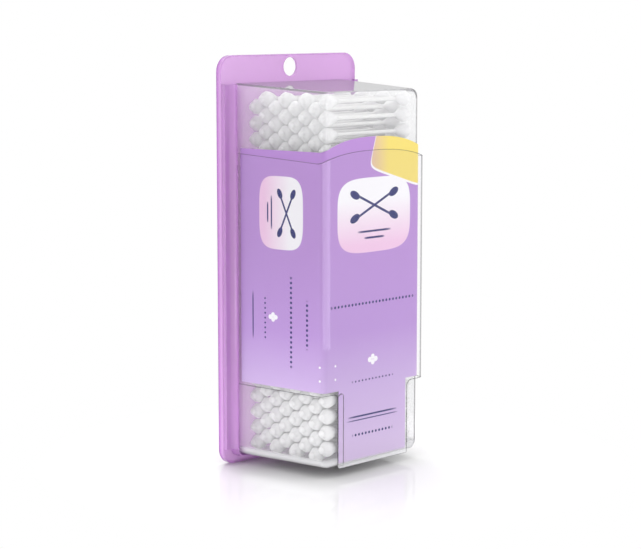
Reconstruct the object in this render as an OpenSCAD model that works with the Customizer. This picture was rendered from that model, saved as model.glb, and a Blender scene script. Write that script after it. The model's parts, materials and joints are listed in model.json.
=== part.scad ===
// Hanging pack of cotton swabs: a clear tub of swabs that slides in a tinted back tray, inside a clear
// front cover with a printed card between them. Millimetres, Z up. The pack stands upright, centred in
// plan on its origin, with the foot of the back tray at z = 0 and the front of the cover towards -Y.

/* [Swabs] */
// Length of a swab from tip to tip
swab_l = 76; // [66:0.5:86]
// Diameter of a cotton bud at its belly
bud_d = 9.4; // [8.5:0.1:10.5]
// Length of a cotton bud along its stick
bud_l = 13.6; // [11:0.2:17]
// Distance from the tip of a bud to its belly
belly_at = 6.4; // [5.5:0.1:7.5]
// Diameter of the narrow round tip of a bud
tip_d = 4.4; // [3.4:0.1:5.2]
// Diameter of the paper stick
stick_d = 2.4; // [2:0.1:3]
// Cotton between the end of the stick and the tip of the bud
tip_cotton = 2; // [1.5:0.1:3]
// Thickness of the cotton where a bud thins out on the stick
neck_cotton = 0.25; // [0.15:0.05:0.5]
// Swabs in each upright column
rows = 22; // [10:1:24]
// Free height between one swab and the next above it
row_gap = 0.2; // [0.1:0.05:0.6]
// Free distance between swabs of neighbouring columns
swab_gap = 0.1; // [0.05:0.05:0.4]

/* [Tub] */
// Sheet thickness of the tub
tub_wall = 0.5; // [0.3:0.05:0.8]
// Free distance from the swab tips to the side walls, at the front
end_clear = 1.8; // [0.5:0.1:3]
// Free distance between the front column and the front wall
front_clear = 0.2; // [0.1:0.05:0.6]
// Free height over the highest swabs, at the front
head_clear = 0.5; // [0.3:0.1:2]
// Slope of the side walls, in degrees
side_draft = 6.3; // [2:0.1:8]
// Slope of the top wall, in degrees
top_draft = 3; // [1:0.1:5]
// Slope of the floor, in degrees
floor_draft = 0.3; // [0.1:0.1:0.6]
// Radius of the corners of the front and of the mouth
tub_corner = 5; // [3:0.5:7]
// Radius of the edge round the front
tub_edge = 2.6; // [1.5:0.1:3]
// Sheet thickness of the two side flanges
flange_t = 0.6; // [0.4:0.05:0.8]
// Height of the floor of the tub over the foot of the tray
tub_lift = 5.6; // [4.5:0.1:9]

/* [Printed card] */
// Thickness of the card
card_t = 0.4; // [0.3:0.05:0.6]
// Running clearance between the tub and the card
card_gap = 0.35; // [0.3:0.05:0.8]
// Radius of the fold of the card at the front corners
card_fold = 4; // [2.5:0.1:4.5]
// Height of the top of the card at the front corners
card_top = 189.5; // [140:0.5:195]
// Rise of the arch in the middle of the top of the card
card_arch = 7.5; // [3:0.5:12]
// Height of the lower edge of the card on the sides
card_low = 50.8; // [50.5:0.1:60]
// Height of the lower end of the card on the tongue
card_foot = 7.8; // [7.5:0.1:12]
// Distance of the edges of the card from the edges of the cover's tongue, on each side
tongue_margin = 1; // [0.6:0.1:3]
// Distance of the rear edge of the card from the face of the tray
card_back = 6.8; // [5.5:0.1:9]

/* [Display cover] */
// Sheet thickness of the cover
cover_t = 0.5; // [0.3:0.05:0.7]
// Free distance between the card and the front of the cover
cover_gap = 0.1; // [0.05:0.05:0.3]
// Free distance between the card and the sides of the cover, at the front corners
room_front = 2.45; // [0.6:0.05:3]
// Free distance between the card and the sides of the cover, at the mouth
room_back = 0.3; // [0.2:0.05:1]
// Radius of the fold of the cover at the front corners
cover_fold = 2.5; // [1.5:0.1:4]
// Radius of the gentle curve between a front corner of the cover and its flat front
cover_ease = 40; // [20:1:80]
// Turn of that gentle curve, in degrees
cover_turn = 9; // [2:0.5:12]
// Height of the top of the cover at the front corners
cover_top = 183.4; // [130:0.5:188]
// Rise of the arch in the middle of the top of the cover
cover_arch = 5.8; // [2:0.1:9]
// Extra height of the sides of the cover at the mouth
cover_rise = 3.4; // [0:0.1:5]
// Height of the lower edge of the cover on the sides
cover_low = 49.2; // [46:0.1:50]
// Height of the lower end of the tongue
cover_foot = 5; // [4:0.1:6.5]
// Width of the tongue
tongue_w = 59.6; // [46:0.5:66]
// Radius where the lower edge turns down into the tongue
tongue_fillet = 3.6; // [2:0.1:6]
// Radius of the lower corners of the tongue
tongue_corner = 1.6; // [0.8:0.1:4]
// Width of the bead along the left edge of the tongue
bead_w = 4.6; // [3:0.1:6]
// Height of that bead over the face of the tongue
bead_h = 0.7; // [0.4:0.1:1]

/* [Back tray] */
// Sheet thickness of the tray
tray_t = 0.8; // [0.6:0.05:1]
// Depth of the rim that is turned back all round
rim_depth = 3.4; // [2:0.1:5]
// Spread of the rim from its face to its rear edge
rim_spread = 0.4; // [0.2:0.05:0.8]
// Radius of the corners of the tray
tray_corner = 9.5; // [6:0.5:12]
// Height of the header over the tub
header_h = 16.2; // [14.5:0.1:24]
// Diameter of the hang hole
hole_d = 11.3; // [6:0.1:12]
// Distance from the top edge of the tray to the middle of the hang hole
hole_drop = 7.5; // [7.2:0.1:8.4]
// Width of the ring that is turned back round the hang hole
ring_w = 1; // [0.6:0.05:1.2]
// Depth of that ring behind the sheet
ring_h = 0.5; // [0.3:0.1:1.5]
// Width of each side rail, from the lip to its outer edge
rail_w = 5.9; // [5:0.1:9]
// Margin of the tray outside a rail
rail_margin = 1; // [0.9:0.1:3]
// Height of the lower end of the rails
rail_foot = 10; // [9.5:0.1:14]
// Distance of the upper end of the rails from the top of the tub
rail_short = 0.4; // [0.2:0.1:4]
// Radius of the hollow between rail and lip
rail_fillet = 3.4; // [2:0.1:3.6]
// Height of the lip over the face of the tray
lip_h = 6.4; // [6:0.1:9]
// Running clearance in the rails, under the tub and beside the cover
run_gap = 0.3; // [0.2:0.05:0.5]

/* [Hidden] */

// Colours of the five materials
tinted_plastic = [0.86, 0.66, 0.92];
clear_plastic = [0.92, 0.94, 0.96, 0.35];
lilac_card = [0.76, 0.61, 0.86];
white_paper = [0.93, 0.93, 0.91];
white_cotton = [0.97, 0.97, 0.96];

// Columns of swabs, front to back; each has three nodes of its own
columns = 8;
// Play between a stick and the cotton round it
stick_fit = 0.05;
// Thickness of the slices that a rounded hull is stretched over
slice = 0.01;
// Overlap that joins two solids of one piece, and overshoot of a cut
weld = 0.2;
past = 1;
// Fullness of the arched top edges: 2 is a parabola, more is flatter in the middle
arch_power = 2.6;
// Facets of a full circle on rounded edges, and steps along an arc or a curve
round_fn = 32;
arc_steps = 8;
arch_steps = 12;
$fn = 48;

// The swabs stand in upright columns, every other one half a row higher, packed as round things pack
row_pitch = bud_d + row_gap;
column_pitch = sqrt(pow(bud_d + swab_gap, 2) - pow(row_pitch / 2, 2));
tub_depth = tub_wall + front_clear + bud_d + (columns - 1) * column_pitch + run_gap;
tub_floor = tub_lift + tub_depth * tan(floor_draft);
lowest_swab = tub_floor + tub_wall + front_clear + bud_d / 2;
highest_swab = lowest_swab + row_pitch / 2 + (rows - 1) * row_pitch;
tub_ceiling = highest_swab + bud_d / 2 + head_clear + tub_wall;
tub_top = tub_ceiling + tub_depth * tan(top_draft);
tub_half = swab_l / 2 + end_clear + tub_wall;

// Flanges lie one over the other in the rails: the tub's next to the tray, the cover's in front of it
tub_flange_y = -run_gap;
cover_flange_y = tub_flange_y - flange_t - run_gap;
rail_face = -(cover_flange_y - cover_t - run_gap) + tray_t;

// The card hugs the tub, and the cover stands off the card a little more at the corners than behind
card_front = tub_depth + card_gap + card_t;
card_half = tub_half + card_gap + card_t;
cover_front = card_front + cover_gap + cover_t;
cover_half = card_half + room_front + cover_t;
cover_mouth = tub_half_at(-cover_flange_y) + card_gap + card_t + room_back + cover_t;

// The lip of the tray stands beside the cover, and the rails outside it
lip_in = cover_mouth + run_gap;
lip_out = lip_in + tray_t;
rail_out = lip_out + rail_w;
flange_out = rail_out - tray_t - run_gap;
tray_half = rail_out + rail_margin;
tray_h = tub_top + header_h;
rail_top = tub_top - rail_short;

// The face of the tray, so that the whole pack is centred front to back
face_y = (cover_front + bead_h - rim_depth) / 2;

function tub_half_at(depth) = tub_half + (tub_depth - depth) * tan(side_draft);

// Points of an arc about the point c, from one angle to another, from the step first on
function arc(c, r, from, to, first = 0) =
    [for (i = [first:arc_steps]) let (a = from + (to - from) * i / arc_steps) c + r * [cos(a), sin(a)]];

// Depth of a folded corner: a tight fold of radius r, eased into the flat front over the radius ease
function fold_depth(r, ease, turn) = ease - (ease - r) * cos(turn);

// One side of a folded sheet in plan, from its rear edge round to the middle of the front: half widths
// at the front and at the mouth, depths of both, and the two radii and the turn of the folded corner
function fold_path(half, mouth, depth, rear, r, ease, turn) =
    let (slope = atan2(mouth - half, depth - rear))
    let (y = fold_depth(r, ease, turn) - depth)
    let (x = mouth + (rear + y) * tan(slope) - r / cos(slope))
    let (flat = x - (ease - r) * sin(turn))
    concat([[mouth, -rear]], arc([x, y], r, -slope, turn - 90),
        turn > 0 ? arc([flat, ease - depth], ease, turn - 90, -90, 1) : [], [[0, -depth]]);

// The same path, moved inwards by the thickness t
function inner_path(half, mouth, depth, rear, r, ease, turn, t) =
    let (slope = atan2(mouth - half, depth - rear))
    let (in = t / cos(slope))
    fold_path(half - in + t * tan(slope), mouth - in, depth - t, rear, r - t, ease - t, turn);

function reversed(list) = [for (i = [len(list) - 1:-1:0]) list[i]];
function mirrored(list) = [for (p = list) [-p[0], p[1]]];

// An arched line from the right corner to the left one
function arch(half, height, rise) =
    [for (i = [arch_steps:-1:-arch_steps]) let (u = i / arch_steps)
        [u * half, height + rise * (1 - pow(abs(u), arch_power))]];

// Outline of half a bud, as [radius, distance from the tip]: round tip, swell, belly and neck
function bud_outline() =
    let (tip = tip_d / 2, belly = bud_d / 2, neck = stick_d / 2 + neck_cotton)
    concat(
        [for (a = [0:30:60]) [tip * sin(a), tip * (1 - cos(a))]],
        [for (u = [1 / 2, 1])
            [tip + (belly - tip) * (1 - cos(180 * u)) / 2, tip + (belly_at - tip) * u]],
        [for (u = [1 / 3, 2 / 3, 1])
            [neck + (belly - neck) * (1 + cos(180 * u)) / 2, belly_at + (bud_l - belly_at) * u]]
    );

// Everything is drawn from the face of the tray and set in its place here
module stand() {
    translate([0, face_y, 0]) children();
}

// A flat outline in width and height, stretched from one depth to another
module upright(from, to) {
    translate([0, -from, 0]) rotate([90, 0, 0]) linear_extrude(height = to - from) children();
}

// A drafted, rounded block: a hull over slices of [depth, half width, bottom, top, corner radius]
module drafted_block(slices) {
    hull() for (s = slices) for (side = [-1, 1]) for (z = [s[2] + s[4], s[3] - s[4]])
        translate([side * (s[1] - s[4]), -s[0], z]) rotate([90, 0, 0])
            cylinder(r = s[4], h = slice, $fn = round_fn);
}

// The space of the tub, its walls moved inwards by the thickness t
module tub_space(t, mouth) {
    edge = tub_edge - t;
    corner = tub_corner - t;
    front = tub_depth - t;
    function level(depth, less) = [
        depth,
        tub_half_at(depth) - t - less,
        tub_lift + depth * tan(floor_draft) + t + less,
        tub_top - depth * tan(top_draft) - t - less,
        corner - less / 2
    ];
    drafted_block(concat(
        [level(mouth, 0)],
        [for (a = [0:30:90]) level(front - edge + edge * sin(a), edge * (1 - cos(a)))]
    ));
}

module clear_tub() {
    flange_in = tub_half_at(-tub_flange_y) - tub_wall - weld;
    color(clear_plastic) stand() difference() {
        union() {
            tub_space(0, -tub_flange_y);
            for (side = [0, 1]) mirror([side, 0, 0])
                translate([flange_in, tub_flange_y - flange_t, rail_foot + run_gap])
                    cube([flange_out - flange_in, flange_t, rail_top - rail_foot - run_gap]);
        }
        tub_space(tub_wall, -tub_flange_y - past);
    }
}

// The folded card, and the folded cover, before their edges are cut
module folded_sheet(half, mouth, depth, rear, r, ease, turn, t, height) {
    outer = fold_path(half, mouth, depth, rear, r, ease, turn);
    inner = inner_path(half, mouth, depth, rear, r, ease, turn, t);
    linear_extrude(height = height)
        polygon(concat(outer, reversed(mirrored(outer)), mirrored(inner), reversed(inner)));
}

// Front outline: an arched top, straight sides and a tongue below, with hollow fillets beside it
module front_outline(half, top, rise, low, foot, tongue, fillet, corner) {
    side = concat(
        [[half + past, top], [half + past, low]],
        arc([tongue + fillet, low - fillet], fillet, 90, 180),
        arc([tongue - corner, foot + corner], corner, 0, -90)
    );
    polygon(concat(arch(half, top, rise), mirrored(side), reversed(side)));
}

module printed_card() {
    mouth = tub_half_at(card_back) + card_gap + card_t;
    tongue = tongue_w / 2 - tongue_margin;
    color(lilac_card) stand() intersection() {
        folded_sheet(card_half, mouth, card_front, card_back, card_fold, card_fold, 0, card_t, tray_h);
        union() {
            upright(card_front - card_fold, card_front + past)
                front_outline(card_half, card_top, card_arch, card_low, card_foot,
                    tongue, card_t, card_t);
            translate([-mouth - past, card_fold - card_front, card_low])
                cube([2 * (mouth + past), card_front, card_top - card_low]);
        }
    }
}

module display_cover() {
    depth = cover_front;
    rear = -cover_flange_y;
    strip = cover_front - fold_depth(cover_fold, cover_ease, cover_turn);
    color(clear_plastic) stand() union() {
        intersection() {
            folded_sheet(cover_half, cover_mouth, depth, rear, cover_fold, cover_ease, cover_turn,
                cover_t, tray_h);
            union() {
                upright(strip, cover_front + past)
                    front_outline(cover_half, cover_top, cover_arch, cover_low, cover_foot,
                        tongue_w / 2, tongue_fillet, tongue_corner);
                cover_sides(strip + slice);
            }
        }
        for (side = [0, 1]) mirror([side, 0, 0])
            translate([cover_mouth - cover_t, cover_flange_y - cover_t, cover_low])
                cube([flange_out - cover_mouth + cover_t, cover_t, cover_top + cover_rise - cover_low]);
        tongue_bead();
    }
}

// The sides of the cover, level below and rising towards the mouth above
module cover_sides(reach) {
    span = cover_mouth + past;
    translate([-span, 0, 0]) rotate([90, 0, 90]) linear_extrude(height = 2 * span)
        polygon([[-reach, cover_low], [past, cover_low], [past, cover_top + cover_rise],
            [-reach, cover_top]]);
}

// The half-round bead along the left edge of the tongue, with a round upper end
module tongue_bead() {
    half = bead_w / 2;
    r = (half * half + bead_h * bead_h) / (2 * bead_h);
    end = cover_foot + tongue_corner;
    top = cover_low - end - half;
    translate([half - tongue_w / 2, -cover_front, end]) intersection() {
        translate([0, r - bead_h, 0]) cylinder(r = r, h = top + half);
        upright(-cover_t / 2, bead_h) union() {
            translate([-half, 0]) square([bead_w, top]);
            translate([0, top]) circle(r = half);
        }
    }
}

// The tray is a shallow pan that opens to the rear, its edge rounded towards the face
module pan(less, depth) {
    half = tray_half - rim_spread - less;
    spread = rim_spread / rim_depth;
    function level(y, in) = [-y, half + spread * y - in, less + in, tray_h - less - in, tray_corner - less];
    drafted_block([level(less, rim_spread), level(less + rim_spread, 0), level(depth, 0)]);
}

module back_tray() {
    hole_z = tray_h - hole_drop;
    color(tinted_plastic) stand() difference() {
        union() {
            difference() {
                pan(0, rim_depth);
                pan(tray_t, rim_depth + past);
            }
            upright(-tray_t - ring_h, 0) translate([0, hole_z]) circle(d = hole_d + 2 * ring_w);
            for (side = [0, 1]) mirror([side, 0, 0]) side_rail();
            tub_lip();
        }
        upright(-rim_depth - past, past) translate([0, hole_z]) circle(d = hole_d);
    }
}

// A rail in plan: an outer leg, a face, and a hollow sweep forward into the lip
module side_rail() {
    hollow = [lip_out + rail_fillet, -rail_face - rail_fillet];
    start = rail_foot - weld;
    translate([0, 0, start]) linear_extrude(height = rail_top - start) polygon(concat(
        [[rail_out, weld], [rail_out, -rail_face]],
        arc(hollow, rail_fillet, 90, 180),
        [[lip_out, -lip_h], [lip_in, -lip_h]],
        arc(hollow, rail_fillet + tray_t, 180, 90),
        [[rail_out - tray_t, tray_t - rail_face], [rail_out - tray_t, weld]]
    ));
}

// The lip runs down beside the tub and round under its floor
module tub_lip() {
    foot = tub_lift - run_gap - tray_t;
    upright(-weld, lip_h) difference() {
        lip_outline(lip_out, foot, tub_corner);
        lip_outline(lip_in, foot + tray_t, tub_corner - tray_t);
        translate([-lip_out, rail_foot]) square([2 * lip_out, tray_h]);
    }
}

module lip_outline(half, foot, r) {
    translate([-half, foot + r]) square([2 * half, rail_foot]);
    translate([-half + r, foot]) square([2 * (half - r), rail_foot]);
    for (side = [-1, 1]) translate([side * (half - r), foot + r]) circle(r = r);
}

// Places one thing on every swab of the column k, counted from the front
module each_swab(k) {
    y = -(tub_depth - tub_wall - front_clear - bud_d / 2 - (k - 1) * column_pitch);
    half_row = k % 2 == 1 ? row_pitch / 2 : 0;
    stand() for (i = [0:rows - 1]) translate([0, y, lowest_swab + half_row + i * row_pitch]) children();
}

module sticks(k) {
    length = swab_l - 2 * (tip_cotton + stick_fit);
    color(white_paper) each_swab(k) rotate([0, 90, 0]) cylinder(d = stick_d, h = length, center = true);
}

module left_buds(k) {
    socket = stick_d / 2 + stick_fit;
    color(white_cotton) each_swab(k) translate([-swab_l / 2, 0, 0]) rotate([0, 90, 0]) rotate_extrude()
        polygon(concat(bud_outline(), [[socket, bud_l], [socket, tip_cotton], [0, tip_cotton]]));
}

module right_buds(k) {
    mirror([1, 0, 0]) left_buds(k);
}

back_tray();
display_cover();
printed_card();
clear_tub();
sticks(1);  // sticks_column_1
left_buds(1);  // left_buds_column_1
right_buds(1);  // right_buds_column_1
sticks(2);  // sticks_column_2
left_buds(2);  // left_buds_column_2
right_buds(2);  // right_buds_column_2
sticks(3);  // sticks_column_3
left_buds(3);  // left_buds_column_3
right_buds(3);  // right_buds_column_3
sticks(4);  // sticks_column_4
left_buds(4);  // left_buds_column_4
right_buds(4);  // right_buds_column_4
sticks(5);  // sticks_column_5
left_buds(5);  // left_buds_column_5
right_buds(5);  // right_buds_column_5
sticks(6);  // sticks_column_6
left_buds(6);  // left_buds_column_6
right_buds(6);  // right_buds_column_6
sticks(7);  // sticks_column_7
left_buds(7);  // left_buds_column_7
right_buds(7);  // right_buds_column_7
sticks(8);  // sticks_column_8
left_buds(8);  // left_buds_column_8
right_buds(8);  // right_buds_column_8
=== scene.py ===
# Looks of a hanging pack of cotton swabs: a tinted tray, a clear tub full of swabs that slides in it,
# a clear cover in front and a printed card between them. Metres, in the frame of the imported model.
import bpy, bmesh, json, math, random
from mathutils import Matrix, Vector

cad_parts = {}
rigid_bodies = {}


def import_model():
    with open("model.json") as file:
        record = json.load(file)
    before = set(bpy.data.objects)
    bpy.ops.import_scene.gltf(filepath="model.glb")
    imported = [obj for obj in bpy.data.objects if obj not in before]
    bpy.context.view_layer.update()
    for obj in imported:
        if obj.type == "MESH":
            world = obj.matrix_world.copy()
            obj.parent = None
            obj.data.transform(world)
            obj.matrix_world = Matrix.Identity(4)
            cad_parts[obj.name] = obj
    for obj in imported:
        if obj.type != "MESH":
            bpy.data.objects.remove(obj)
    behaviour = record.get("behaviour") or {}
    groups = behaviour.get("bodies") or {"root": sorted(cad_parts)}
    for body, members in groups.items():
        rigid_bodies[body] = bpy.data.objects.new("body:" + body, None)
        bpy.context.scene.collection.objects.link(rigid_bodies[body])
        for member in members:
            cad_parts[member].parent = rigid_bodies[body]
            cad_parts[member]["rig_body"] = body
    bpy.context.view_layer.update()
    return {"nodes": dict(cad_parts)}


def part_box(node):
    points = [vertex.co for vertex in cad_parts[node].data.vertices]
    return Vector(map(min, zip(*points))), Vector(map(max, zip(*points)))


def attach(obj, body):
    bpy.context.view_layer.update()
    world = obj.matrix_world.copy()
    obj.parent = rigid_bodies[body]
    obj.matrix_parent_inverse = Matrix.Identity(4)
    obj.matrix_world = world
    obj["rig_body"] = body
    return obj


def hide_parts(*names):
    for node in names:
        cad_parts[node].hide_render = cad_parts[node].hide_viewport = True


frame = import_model()
NODES = frame["nodes"]
MM = 0.001

# ---------------------------------------------------------------- camera
# The view that fits the edges of the pack in the photograph, 641 by 549 pixels
FRAME_WIDTH, FOCAL_LENGTH = 641, 1917.5         # pixels
SENSOR_WIDTH = 36                               # millimetres
TURN, TILT = -0.7945, 0.1385                    # radians about Z, and above the level
LOOK_AT, DISTANCE = Vector((-0.01073, -0.00278, 0.11407)), 1.13654


def add_camera():
    """The camera, which looks down a little at the front left corner."""
    back = Vector((math.sin(TURN) * math.cos(TILT), -math.cos(TURN) * math.cos(TILT), math.sin(TILT)))
    right = Vector((math.cos(TURN), math.sin(TURN), 0))
    up = back.cross(right)
    lens = bpy.data.cameras.new("camera")
    lens.sensor_width = SENSOR_WIDTH
    lens.lens = FOCAL_LENGTH * SENSOR_WIDTH / FRAME_WIDTH
    lens.clip_start, lens.clip_end = 0.01, 20
    camera = bpy.data.objects.new("camera", lens)
    camera.matrix_world = Matrix.Translation(LOOK_AT + back * DISTANCE) @ \
        Matrix((right, up, back)).transposed().to_4x4()
    bpy.context.scene.collection.objects.link(camera)
    bpy.context.scene.camera = camera


# ---------------------------------------------------------------- nodes and colours
def rgb(text):
    """An sRGB hex colour as linear RGBA."""
    parts = [int(text[i:i + 2], 16) / 255 for i in (0, 2, 4)]
    return [p / 12.92 if p <= 0.04045 else ((p + 0.055) / 1.055) ** 2.4 for p in parts] + [1]


def add(tree, kind, settings=None, links=None):
    """A new node: settings are its own properties and its sockets' values, links what feeds its sockets."""
    made = tree.nodes.new(kind)
    for key, value in (settings or {}).items():
        if isinstance(key, int) or key in made.inputs:
            made.inputs[key].default_value = value
        else:
            setattr(made, key, value)
    for key, source in (links or {}).items():
        tree.links.new(source, made.inputs[key])
    return made


def material(name):
    """An empty material and its node tree."""
    made = bpy.data.materials.new(name)
    made.use_nodes = True
    made.node_tree.nodes.clear()
    return made, made.node_tree


def steps(ramp, stops):
    """Sets the stops of a colour ramp: (place, hex colour) each."""
    while len(ramp.elements) < len(stops):
        ramp.elements.new(0.5)
    for element, (place, colour) in zip(ramp.elements, stops):
        element.position, element.color = place, rgb(colour)


# ---------------------------------------------------------------- sheets
TINT_DEPTH = 0.008          # from the rear edge of the tray's rim to its rails in front


def tinted_sheet():
    """Tinted PVC, thermoformed: smooth and slightly milky. It is painted deeper where it turns back, painted
    shade for light crossing it at a slant.
    """
    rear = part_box("back_tray")[1].y
    made, tree = material("tinted_pvc_sheet")
    place = add(tree, "ShaderNodeTexCoord")
    parts = add(tree, "ShaderNodeSeparateXYZ", links={0: place.outputs["Object"]})
    depth = add(tree, "ShaderNodeMapRange", {"From Min": rear - TINT_DEPTH, "From Max": rear},
                {"Value": parts.outputs["Y"]})
    tint_and_painted_shade = add(tree, "ShaderNodeValToRGB", links={0: depth.outputs[0]})
    # The rails in front of the face, the face itself, a painted line of shade where its rim bends, and the
    # rim, painted deeper as shade
    steps(tint_and_painted_shade.color_ramp, [(0.52, "ECB8F6"), (0.56, "EABAF2"), (0.582, "EABAF2"), (0.598, "D093DF"),
                            (0.62, "EABAF2"), (0.72, "E8B4F1"), (1, "CC7EDC")])
    # Clouds of about 45 mm in the gloss, where the sheet cooled unevenly
    cloud = add(tree, "ShaderNodeTexNoise", {"Scale": 22.0, "Detail": 2.0},
                {"Vector": place.outputs["Object"]})
    gloss = add(tree, "ShaderNodeMapRange", {"To Min": 0.16, "To Max": 0.26},
                {"Value": cloud.outputs["Fac"]})
    skin = add(tree, "ShaderNodeBsdfPrincipled", {"IOR": 1.53, "Transmission Weight": 0.6,
               "Coat Weight": 0.3, "Coat Roughness": 0.06},
               {"Base Color": tint_and_painted_shade.outputs[0], "Roughness": gloss.outputs[0]})
    add(tree, "ShaderNodeOutputMaterial", links={"Surface": skin.outputs[0]})
    return made


FOOT_HIGHLIGHT_RISE = 0.004          # height over which the painted white highlight at the foot of a clear sheet fades out
CUT_EDGE = 0.0005           # width of the rim of a cut edge
FLAT = 0.97                 # on the flat walls, the largest part of a unit normal is above this


def clear_sheet(name, haze, foot, cut_edges):
    """Clear PET, thermoformed: see-through, with the studio mirrored in it, most of all at a slant. Haze is
    its share of white. Below the height foot it is painted milky white, a painted highlight on its foot. Cut
    edges look dark."""
    made, tree = material(name)
    place = add(tree, "ShaderNodeTexCoord")
    parts = add(tree, "ShaderNodeSeparateXYZ", links={0: place.outputs["Object"]})
    slant = add(tree, "ShaderNodeLayerWeight", {"Blend": 0.5})
    # As on any clear sheet, more is mirrored at a slant, and less light passes
    steep = add(tree, "ShaderNodeMath", {"operation": "POWER", 1: 4}, {0: slant.outputs["Facing"]})
    share = add(tree, "ShaderNodeMapRange", {"To Min": 0.02, "To Max": 0.8}, {"Value": steep.outputs[0]})
    depth = add(tree, "ShaderNodeValToRGB", links={0: slant.outputs["Facing"]})
    steps(depth.color_ramp, [(0, "FFFFFF"), (0.66, "FEFEFE"), (0.87, "EEEEF0"), (0.93, "5C5C66")])
    # A rounded fold bends the light away, and is dark where it turns from the eye. It is where the normal
    # lies between the directions of the flat walls.
    lean = add(tree, "ShaderNodeVectorMath", {"operation": "ABSOLUTE"}, {0: place.outputs["Normal"]})
    lean = add(tree, "ShaderNodeSeparateXYZ", links={0: lean.outputs[0]})
    most = add(tree, "ShaderNodeMath", {"operation": "MAXIMUM"}, {0: lean.outputs["X"], 1: lean.outputs["Y"]})
    most = add(tree, "ShaderNodeMath", {"operation": "MAXIMUM"}, {0: most.outputs[0], 1: lean.outputs["Z"]})
    fold = add(tree, "ShaderNodeMath", {"operation": "LESS_THAN", 1: FLAT}, {0: most.outputs[0]})
    bent = add(tree, "ShaderNodeValToRGB", links={0: slant.outputs["Facing"]})
    steps(bent.color_ramp, [(0.45, "FEFEFE"), (0.65, "606068")])
    passed = add(tree, "ShaderNodeMix", {"data_type": "RGBA"},
                 {"Factor": fold.outputs[0], 6: depth.outputs[0], 7: bent.outputs[0]})
    clear = add(tree, "ShaderNodeBsdfTransparent", links={"Color": passed.outputs[2]})
    gloss = add(tree, "ShaderNodeBsdfPrincipled", {"Base Color": rgb("FFFFFF"), "Metallic": 1.0,
                "Roughness": 0.05})
    film = add(tree, "ShaderNodeMixShader", links={0: share.outputs[0], 1: clear.outputs[0],
               2: gloss.outputs[0]})
    # The white cloud below the foot is a painted highlight along the bright bottom edge
    low = add(tree, "ShaderNodeMapRange", {"interpolation_type": "SMOOTHSTEP",
              "From Min": foot + FOOT_HIGHLIGHT_RISE, "From Max": foot, "To Min": haze, "To Max": 0.6},
              {"Value": parts.outputs["Z"]})
    cloud = add(tree, "ShaderNodeBsdfPrincipled", {"Base Color": rgb("F6F6F8"), "Roughness": 0.2})
    film_and_painted_foot = add(tree, "ShaderNodeMixShader", links={0: low.outputs[0], 1: film.outputs[0],
                2: cloud.outputs[0]})
    # The rim of a cut edge bends the light away too: there the eased normal leaves the face's by 6 to 15
    # degrees
    eased = add(tree, "ShaderNodeBevel", {"samples": 6, "Radius": CUT_EDGE})
    flat = add(tree, "ShaderNodeNewGeometry")
    turned = add(tree, "ShaderNodeVectorMath", {"operation": "DOT_PRODUCT"},
                 {0: eased.outputs[0], 1: flat.outputs["Normal"]})
    cut = add(tree, "ShaderNodeMapRange", {"From Min": 0.995, "From Max": 0.965, "To Max": 0.95},
              {"Value": turned.outputs["Value"]})
    edge = add(tree, "ShaderNodeBsdfPrincipled", {"Base Color": rgb("2C2C34"), "Roughness": 0.3})
    skin = add(tree, "ShaderNodeMixShader", links={0: cut.outputs[0], 1: film_and_painted_foot.outputs[0],
               2: edge.outputs[0]})
    add(tree, "ShaderNodeOutputMaterial", links={"Surface": (skin if cut_edges else film_and_painted_foot).outputs[0]})
    return made


# ---------------------------------------------------------------- the printed card
NAVY, WHITE, PINK, YELLOW, PEACH = "041068", "F3F1F6", "EBC3E2", "ECD672", "DBBB9C"

# Millimetres in this section. Print on the front, across and up: shape, middle, half sizes, turn in
# degrees, colour. An oval is round, a plaque has wide round corners, a bar nearly square ones, and dots
# fill the length of a bar with a row of them.
FRONT_PRINT = [
    ("bar", (23.8, 186.4), (24, 15.5), -17, WHITE), ("bar", (24.5, 187.5), (24, 15.5), -17, YELLOW),
    ("plaque", (1, 151.5), (31, 21.8), 0, "badge"),
    ("bar", (1, 157), (17, 0.75), 24, NAVY), ("bar", (1, 157), (17, 0.75), -24, NAVY),
    ("oval", (-15.5, 163.8), (4.2, 2.3), -24, NAVY), ("oval", (17.5, 150.2), (4.2, 2.3), -24, NAVY),
    ("oval", (17.5, 163.8), (4.2, 2.3), 24, NAVY), ("oval", (-15.5, 150.2), (4.2, 2.3), 24, NAVY),
    ("bar", (1, 142), (13, 0.6), 0, NAVY), ("bar", (1, 138.2), (8, 0.6), 0, NAVY),
    ("dots", (0, 100), (36, 0.8), 0, NAVY),
    ("oval", (0, 67.6), (1.6, 1.6), 0, WHITE), ("oval", (-2.6, 66), (1.6, 1.6), 0, WHITE),
    ("oval", (2.6, 66), (1.6, 1.6), 0, WHITE), ("oval", (0, 64.4), (1.6, 1.6), 0, WHITE),
    ("dots", (0, 54.5), (17.5, 0.6), 0, NAVY),
    ("bar", (0, 33.5), (19, 0.5), 0, NAVY), ("bar", (0, 31.3), (19, 0.3), 0, NAVY),
    ("dots", (0, 22.6), (17, 0.8), 0, NAVY),
    ("oval", (-31.6, 65.9), (0.7, 0.7), 0, WHITE), ("oval", (-31.6, 57.9), (0.7, 0.7), 0, WHITE),
]
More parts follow.
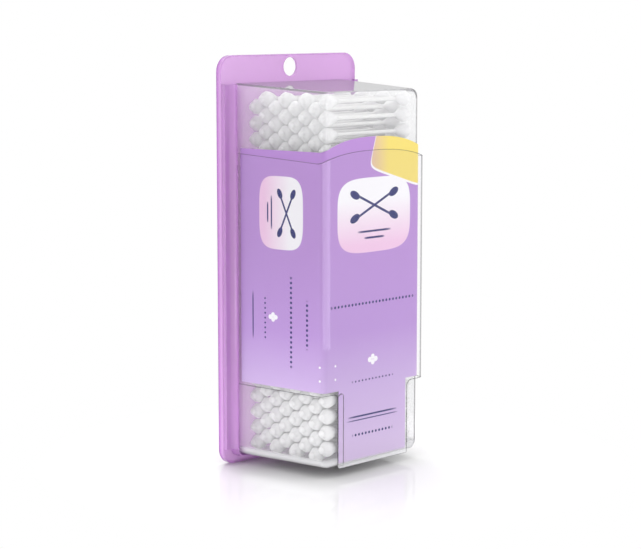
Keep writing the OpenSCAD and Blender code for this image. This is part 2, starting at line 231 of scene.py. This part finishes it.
# Print on both sides, towards the rear and up
SIDE_PRINT = [
    ("plaque", (-3.9, 153.3), (16.2, 21.3), 0, "badge"),
    ("bar", (-7.9, 153.3), (0.6, 12.6), 24, NAVY), ("bar", (-7.9, 153.3), (0.6, 12.6), -24, NAVY),
    ("oval", (-3, 142.1), (1.7, 3.1), 24, NAVY), ("oval", (-12.8, 164.5), (1.7, 3.1), 24, NAVY),
    ("oval", (-12.8, 142.1), (1.7, 3.1), -24, NAVY), ("oval", (-3, 164.5), (1.7, 3.1), -24, NAVY),
    ("bar", (3.2, 153.3), (0.5, 9), 0, NAVY), ("bar", (6, 153.3), (0.5, 5.5), 0, NAVY),
    ("dots", (-11.2, 90), (27, 0.8), 90, NAVY), ("dots", (-23, 89.5), (14, 0.8), 90, NAVY),
    ("bar", (17.4, 92), (0.4, 12.5), 0, NAVY), ("dots", (8.2, 91), (13, 0.6), 90, NAVY),
    ("oval", (2.2, 93.4), (1.4, 1.4), 0, WHITE), ("oval", (0.2, 92), (1.4, 1.4), 0, WHITE),
    ("oval", (4.2, 92), (1.4, 1.4), 0, WHITE), ("oval", (2.2, 90.6), (1.4, 1.4), 0, WHITE),
    ("oval", (-32.2, 65.9), (0.7, 0.7), 0, WHITE), ("oval", (-32.2, 57.9), (0.7, 0.7), 0, WHITE),
]
DOT_PITCH = 2.9             # from dot to dot
SOFT_EDGE = 0.1             # half the width of the soft edge of a shape
BADGE_FRONT = (173, 130)    # the front badge fades from white to pink between these heights,
BADGE_SIDE = (-19.7, 11.9)  # and a side badge between these places towards the rear
BAND_FADE = 13              # width of the yellow band's fade, from the middle of the front
SHADE_TOP = 200             # height up to which the lilac deepens


def printed_shape(tree, spot, kind, middle, half, turn):
    """The share of a printed shape at a spot: 1 inside, 0 outside."""
    turn = math.radians(turn)
    span = min(half)
    if kind == "dots":
        span = half[1]
        around = add(tree, "ShaderNodeMapping", {"vector_type": "TEXTURE", "Location": (*middle, 0),
                     "Rotation": (0, 0, turn), "Scale": (DOT_PITCH, span, 1)}, {"Vector": spot})
        # Wrapped along the row alone: 99 lies outside the card
        row = add(tree, "ShaderNodeVectorMath", {"operation": "WRAP", 1: (0.5, 99, 99), 2: (-0.5, -99, -99)},
                  {0: around.outputs[0]})
        even = add(tree, "ShaderNodeVectorMath", {"operation": "MULTIPLY", 1: (DOT_PITCH / span, 1, 0)},
                   {0: row.outputs[0]})
        far = add(tree, "ShaderNodeVectorMath", {"operation": "LENGTH"}, {0: even.outputs[0]})
        dots = add(tree, "ShaderNodeMapRange", {"From Min": 1 + SOFT_EDGE / span,
                   "From Max": 1 - SOFT_EDGE / span}, {"Value": far.outputs["Value"]})
        limit = printed_shape(tree, spot, "bar", middle, (half[0], 2 * span), math.degrees(turn))
        both = add(tree, "ShaderNodeMath", {"operation": "MULTIPLY"}, {0: dots.outputs[0], 1: limit})
        return both.outputs[0]
    around = add(tree, "ShaderNodeMapping", {"vector_type": "TEXTURE", "Location": (*middle, 0),
                 "Rotation": (0, 0, turn), "Scale": (*half, 1)}, {"Vector": spot})
    # Higher powers of the distance make a squarer shape
    doublings = {"oval": 1, "plaque": 2, "bar": 3}[kind]
    power = around
    for _ in range(doublings):
        power = add(tree, "ShaderNodeVectorMath", {"operation": "MULTIPLY"},
                    {0: power.outputs[0], 1: power.outputs[0]})
    total = add(tree, "ShaderNodeVectorMath", {"operation": "DOT_PRODUCT", 1: (1, 1, 0)},
                {0: power.outputs[0]})
    soft = 2 ** doublings * SOFT_EDGE / span
    inside = add(tree, "ShaderNodeMapRange", {"From Min": 1 + soft, "From Max": max(0, 1 - soft)},
                 {"Value": total.outputs["Value"]})
    return inside.outputs[0]


def printed_side(tree, spot, ground, shapes, down, badge_fade):
    """The ground colour with the shapes printed on it in turn. The badge fades from white to pink along
    down, between the two places of badge_fade."""
    white_at, pink_at = badge_fade
    colour = ground
    for kind, middle, half, turn, ink in shapes:
        share = printed_shape(tree, spot, kind, middle, half, turn)
        links = {"Factor": share, 6: colour}
        settings = {"data_type": "RGBA"}
        if ink == "badge":
            fade = add(tree, "ShaderNodeMapRange", {"From Min": pink_at, "From Max": white_at},
                       {"Value": down})
            badge = add(tree, "ShaderNodeValToRGB", links={0: fade.outputs[0]})
            steps(badge.color_ramp, [(0.1, PINK), (0.72, WHITE)])
            links[7] = badge.outputs[0]
        elif ink == YELLOW:
            along = add(tree, "ShaderNodeSeparateXYZ", links={0: spot})
            fade = add(tree, "ShaderNodeMapRange", {"From Min": 0, "From Max": BAND_FADE},
                       {"Value": along.outputs["X"]})
            band = add(tree, "ShaderNodeValToRGB", links={0: fade.outputs[0]})
            steps(band.color_ramp, [(0, PEACH), (1, YELLOW)])
            links[7] = band.outputs[0]
        else:
            settings[7] = rgb(ink)
        colour = add(tree, "ShaderNodeMix", settings, links).outputs[2]
    return colour


def coated_card():
    """Coated paperboard, offset printed: lilac, paler towards the foot, with plain print. The inside and the
    cut edges are white, and a satin coating takes the shine off the ink."""
    made, tree = material("coated_paperboard")
    place = add(tree, "ShaderNodeTexCoord")
    scaled = add(tree, "ShaderNodeVectorMath", {"operation": "SCALE", "Scale": 1 / MM},
                 {0: place.outputs["Object"]})
    parts = add(tree, "ShaderNodeSeparateXYZ", links={0: scaled.outputs[0]})
    height = add(tree, "ShaderNodeMapRange", {"From Min": 0, "From Max": SHADE_TOP},
                 {"Value": parts.outputs["Z"]})
    ground = add(tree, "ShaderNodeValToRGB", links={0: height.outputs[0]})
    steps(ground.color_ramp, [(0.02, "D6C1E5"), (0.27, "C5AADC"), (0.42, "B690D3"), (0.7, "B58BD0"),
                              (1, "B489CE")])
    front = add(tree, "ShaderNodeCombineXYZ", links={"X": parts.outputs["X"], "Y": parts.outputs["Z"]})
    side = add(tree, "ShaderNodeCombineXYZ", links={"X": parts.outputs["Y"], "Y": parts.outputs["Z"]})
    front = printed_side(tree, front.outputs[0], ground.outputs[0], FRONT_PRINT, parts.outputs["Z"],
                         BADGE_FRONT)
    side = printed_side(tree, side.outputs[0], ground.outputs[0], SIDE_PRINT, parts.outputs["Y"],
                        BADGE_SIDE)
    # A face is one of the sides where it looks mostly along X
    lean = add(tree, "ShaderNodeSeparateXYZ", links={0: place.outputs["Normal"]})
    across = add(tree, "ShaderNodeMath", {"operation": "ABSOLUTE"}, {0: lean.outputs["X"]})
    turned = add(tree, "ShaderNodeMath", {"operation": "GREATER_THAN", 1: 0.7}, {0: across.outputs[0]})
    ink = add(tree, "ShaderNodeMix", {"data_type": "RGBA"},
              {"Factor": turned.outputs[0], 6: front, 7: side})
    # Only the faces that look outwards are printed: towards -Y, or in X away from the middle
    half = add(tree, "ShaderNodeMath", {"operation": "SIGN"}, {0: parts.outputs["X"]})
    away = add(tree, "ShaderNodeMath", {"operation": "MULTIPLY"}, {0: lean.outputs["X"], 1: half.outputs[0]})
    outward = add(tree, "ShaderNodeMath", {"operation": "SUBTRACT"},
                  {0: away.outputs[0], 1: lean.outputs["Y"]})
    plain = add(tree, "ShaderNodeMath", {"operation": "LESS_THAN", 1: 0.4}, {0: outward.outputs[0]})
    board = add(tree, "ShaderNodeMix", {"data_type": "RGBA", 7: rgb("F4F2F5")},
                {"Factor": plain.outputs[0], 6: ink.outputs[2]})
    # Light comes through the board, and less where it is printed
    through = add(tree, "ShaderNodeMapRange", {"To Min": 0.1, "To Max": 1.0}, {"Value": plain.outputs[0]})
    # Fibres of the board, about a third of a millimetre, under the coating
    grain = add(tree, "ShaderNodeTexNoise", {"Scale": 3.0, "Detail": 3.0}, {"Vector": scaled.outputs[0]})
    bump = add(tree, "ShaderNodeBump", {"Strength": 0.04, "Distance": 0.0002},
               {"Height": grain.outputs["Fac"]})
    skin = add(tree, "ShaderNodeBsdfPrincipled", {"Roughness": 0.38, "IOR": 1.5,
               "Specular IOR Level": 0.25, "Coat Weight": 0.08, "Coat Roughness": 0.2,
               "Subsurface Scale": 0.002, "Subsurface Radius": (1, 1, 1)},
               {"Base Color": board.outputs[2], "Normal": bump.outputs[0],
                "Subsurface Weight": through.outputs[0]})
    add(tree, "ShaderNodeOutputMaterial", links={"Surface": skin.outputs[0]})
    return made


# ---------------------------------------------------------------- the swabs
def cotton_wool():
    """Cotton, spun on the stick: matt and soft, with fibres wound round the bud."""
    made, tree = material("spun_cotton")
    place = add(tree, "ShaderNodeTexCoord")
    # Fibres lie round the stick, so the pattern is short along it, about 0.4 mm, and longer across
    drawn = add(tree, "ShaderNodeMapping", {"Scale": (2400, 700, 700)}, {"Vector": place.outputs["Object"]})
    fibre = add(tree, "ShaderNodeTexNoise", {"Scale": 1.0, "Detail": 4.0, "Roughness": 0.7},
                {"Vector": drawn.outputs[0]})
    # Tufts of about 2.4 mm
    tuft = add(tree, "ShaderNodeTexNoise", {"Scale": 420.0, "Detail": 2.0},
               {"Vector": place.outputs["Object"]})
    tone = add(tree, "ShaderNodeValToRGB", links={0: tuft.outputs["Fac"]})
    steps(tone.color_ramp, [(0.3, "ECECEE"), (0.7, "F5F5F5")])
    bump = add(tree, "ShaderNodeBump", {"Strength": 0.35, "Distance": 0.0004},
               {"Height": fibre.outputs["Fac"]})
    skin = add(tree, "ShaderNodeBsdfPrincipled", {"Roughness": 0.95, "Sheen Weight": 0.8,
               "Sheen Roughness": 0.45, "Subsurface Weight": 1.0, "Subsurface Scale": 0.008,
               "Subsurface Radius": (1, 1, 1)}, {"Base Color": tone.outputs[0], "Normal": bump.outputs[0]})
    add(tree, "ShaderNodeOutputMaterial", links={"Surface": skin.outputs[0]})
    return made


def rolled_paper():
    """White paper, rolled into a stick: smooth, with faint streaks along it."""
    made, tree = material("rolled_paper")
    place = add(tree, "ShaderNodeTexCoord")
    drawn = add(tree, "ShaderNodeMapping", {"Scale": (60, 1500, 1500)}, {"Vector": place.outputs["Object"]})
    streak = add(tree, "ShaderNodeTexNoise", {"Scale": 1.0, "Detail": 2.0}, {"Vector": drawn.outputs[0]})
    tone = add(tree, "ShaderNodeValToRGB", links={0: streak.outputs["Fac"]})
    steps(tone.color_ramp, [(0.35, "EFEFEF"), (0.65, "F8F8F7")])
    skin = add(tree, "ShaderNodeBsdfPrincipled", {"Roughness": 0.45}, {"Base Color": tone.outputs[0]})
    add(tree, "ShaderNodeOutputMaterial", links={"Surface": skin.outputs[0]})
    return made


# Millimetres in this section. A bud along X from its tip, as (distance from the tip, radius): a small round
# tip, a waist, a belly and a neck on the stick.
BUD = [(0.02, 0.0), (0.35, 1.7), (1.2, 2.4), (2.6, 2.05), (3.1, 3.7), (5.0, 4.74), (8.2, 4.1), (13.5, 1.38)]
BUD_SIDES = 10
WELD = 0.02                 # points of a bud nearer than this are one
UNEVEN, SHIFT = (0.97, 1.01), 0.12              # of a point's radius, and along the swab
SWAB_HALF, COLUMNS, ROWS, ROW_PITCH = 38, 8, 22, 9.6


def cotton_bud(chance):
    """One bud as a new bmesh, its tip towards -X, with the small unevenness of wound cotton."""
    bud = bmesh.new()
    line = [bud.verts.new((x, 0, r)) for x, r in BUD]
    edges = [bud.edges.new(pair) for pair in zip(line, line[1:])]
    bmesh.ops.spin(bud, geom=line + edges, cent=(0, 0, 0), axis=(1, 0, 0), angle=2 * math.pi,
                   steps=BUD_SIDES, use_merge=True)
    bmesh.ops.remove_doubles(bud, verts=bud.verts, dist=WELD)
    bmesh.ops.rotate(bud, verts=bud.verts, matrix=Matrix.Rotation(chance.uniform(0, 1), 3, "X"))
    for vert in bud.verts:
        vert.co.yz = vert.co.yz * chance.uniform(*UNEVEN)
        vert.co.x += chance.uniform(0, SHIFT)
    return bud


def cotton_column(node, side, number):
    """All the buds of one end of a column, in place of the CAD ones."""
    low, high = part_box(node)
    middle_y = (low.y + high.y) / 2 / MM
    first_z = (low.z + high.z) / 2 / MM - ROW_PITCH * (ROWS - 1) / 2
    chance = random.Random(100 * number + (side > 0))
    column = bmesh.new()
    for row in range(ROWS):
        bud = cotton_bud(chance)
        bmesh.ops.translate(bud, verts=bud.verts, vec=(-SWAB_HALF, middle_y, first_z + row * ROW_PITCH))
        bmesh.ops.scale(bud, verts=bud.verts, vec=(-side * MM, MM, MM))
        piece = bpy.data.meshes.new("bud")
        bud.to_mesh(piece)
        column.from_mesh(piece)
        bpy.data.meshes.remove(piece)
        bud.free()
    bmesh.ops.recalc_face_normals(column, faces=column.faces)
    for face in column.faces:
        face.smooth = True
    mesh = bpy.data.meshes.new("cotton")
    column.to_mesh(mesh)
    column.free()
    return mesh


# ---------------------------------------------------------------- pieces that stand for CAD nodes
FOLD_ANGLE = math.radians(28)   # edges that turn less than this are part of a rounded form
SEAM = 0.000002                 # points of a sheet nearer than this are one


def stand_for(node, mesh, finish):
    """Puts a finished mesh in the place of a CAD node."""
    mesh.materials.clear()
    mesh.materials.append(finish)
    made = bpy.data.objects.new("shown_" + node, mesh)
    bpy.context.scene.collection.objects.link(made)
    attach(made, NODES[node]["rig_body"])
    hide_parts(node)
    return made


def rounded_copy(node, finish):
    """A welded copy of a sheet, with its folds and rounded edges shaded smooth and its flats left flat."""
    sheet = bmesh.new()
    sheet.from_mesh(NODES[node].data)
    bmesh.ops.remove_doubles(sheet, verts=sheet.verts, dist=SEAM)
    for face in sheet.faces:
        face.smooth = True
    for edge in sheet.edges:
        edge.smooth = len(edge.link_faces) == 2 and edge.calc_face_angle() < FOLD_ANGLE
    mesh = bpy.data.meshes.new(node)
    sheet.to_mesh(mesh)
    sheet.free()
    made = stand_for(node, mesh, finish)
    even = made.modifiers.new("even_normals", "WEIGHTED_NORMAL")
    even.keep_sharp, even.weight = True, 100
    return made


# ---------------------------------------------------------------- studio
WHITE_LIGHT = (1, 1, 1, 1)
FLOOR_SIZE = 6              # half its width
FLOOR_FADE = (0.095, 0.18)  # distances from the middle over which the floor turns to plain white
PAINTED_SHADOW_REACH = 0.04          # how far from the pack a painted shadow darkens the floor

# name, place, what it points at, width, height, watts, spread in degrees, whether it shows in mirrored light
LAMPS = [
    ("right_card", (0.198, -0.382, 0.16), (-0.04, -0.067, 0.14), 0.152, 0.50, 0.5, 180, True),
    ("left_card", (-0.45, 0.03, 0.16), (-0.04, 0, 0.14), 0.2, 0.50, 0.22, 180, True),
    ("low_fill", (-0.45, -0.06, 0.05), (-0.04, -0.02, 0.03), 0.2, 0.05, 0.018, 30, False),
    ("top_box", (0.10, 0.34, 0.85), (0, 0, 0.02), 0.6, 0.5, 3.0, 180, False),
]


def add_studio():
    """A white floor with a painted contact shadow near the pack, a plain even world and soft lamps."""
    made, tree = material("white_laminate")
    place = add(tree, "ShaderNodeTexCoord")
    far = add(tree, "ShaderNodeVectorMath", {"operation": "LENGTH"}, {0: place.outputs["Object"]})
    fade = add(tree, "ShaderNodeMapRange", {"interpolation_type": "SMOOTHSTEP", "From Min": FLOOR_FADE[0],
               "From Max": FLOOR_FADE[1]}, {"Value": far.outputs["Value"]})
    # The floor's colour is darker near the pack, by ambient occlusion: a painted contact shadow
    painted_shadow = add(tree, "ShaderNodeAmbientOcclusion", {"samples": 8, "Distance": PAINTED_SHADOW_REACH})
    tone = add(tree, "ShaderNodeValToRGB", links={0: painted_shadow.outputs["AO"]})
    steps(tone.color_ramp, [(0.2, "D2D2D2"), (0.55, "E2E2E2"), (0.8, "F8F8F8"), (1, "FCFCFC")])
    board = add(tree, "ShaderNodeBsdfPrincipled", {"Roughness": 0.08, "Specular IOR Level": 0.25},
                {"Base Color": tone.outputs[0]})
    white = add(tree, "ShaderNodeEmission", {"Color": WHITE_LIGHT, "Strength": 1.0})
    skin = add(tree, "ShaderNodeMixShader", links={0: fade.outputs[0], 1: board.outputs[0],
               2: white.outputs[0]})
    add(tree, "ShaderNodeOutputMaterial", links={"Surface": skin.outputs[0]})
    sheet = bmesh.new()
    bmesh.ops.create_grid(sheet, x_segments=1, y_segments=1, size=FLOOR_SIZE)
    mesh = bpy.data.meshes.new("floor")
    sheet.to_mesh(mesh)
    sheet.free()
    mesh.materials.append(made)
    floor = bpy.data.objects.new("floor", mesh)
    bpy.context.scene.collection.objects.link(floor)

    world = bpy.data.worlds.new("studio")
    world.use_nodes = True
    tree = world.node_tree
    tree.nodes.clear()
    # The eye, mirrored light and light through a sheet see plain white, and the pack gets a little less
    ray = add(tree, "ShaderNodeLightPath")
    seen = add(tree, "ShaderNodeMath", {"operation": "MAXIMUM"},
               {0: ray.outputs["Is Camera Ray"], 1: ray.outputs["Is Glossy Ray"]})
    seen = add(tree, "ShaderNodeMath", {"operation": "MAXIMUM"},
               {0: seen.outputs[0], 1: ray.outputs["Is Transmission Ray"]})
    light = add(tree, "ShaderNodeBackground", {"Color": WHITE_LIGHT, "Strength": 0.94})
    white = add(tree, "ShaderNodeBackground", {"Color": WHITE_LIGHT, "Strength": 1.0})
    both = add(tree, "ShaderNodeMixShader", links={0: seen.outputs[0], 1: light.outputs[0],
               2: white.outputs[0]})
    add(tree, "ShaderNodeOutputWorld", links={"Surface": both.outputs[0]})
    bpy.context.scene.world = world

    for name, place, aim, width, height, watts, spread, mirrored in LAMPS:
        lamp = bpy.data.lights.new(name, "AREA")
        lamp.shape = "RECTANGLE"
        lamp.size, lamp.size_y, lamp.energy = width, height, watts
        lamp.spread = math.radians(spread)
        held = bpy.data.objects.new(name, lamp)
        held.location = place
        held.rotation_euler = (Vector(aim) - Vector(place)).to_track_quat("-Z", "Y").to_euler()
        held.visible_camera = False
        held.visible_glossy = mirrored
        bpy.context.scene.collection.objects.link(held)


add_camera()
add_studio()
bpy.context.scene.view_settings.view_transform = "Standard"

rounded_copy("back_tray", tinted_sheet())
rounded_copy("display_cover", clear_sheet("clear_pet_cover", haze=0, foot=0.0055, cut_edges=True))
rounded_copy("clear_tub", clear_sheet("clear_pet_tub", haze=0.13, foot=0.0085, cut_edges=False))
rounded_copy("printed_card", coated_card())
cotton, paper = cotton_wool(), rolled_paper()
for number in range(1, COLUMNS + 1):
    for side, name in [(-1, "left"), (1, "right")]:
        node = f"{name}_buds_column_{number}"
        stand_for(node, cotton_column(node, side, number), cotton)
    NODES[f"sticks_column_{number}"].data.materials.clear()
    NODES[f"sticks_column_{number}"].data.materials.append(paper)
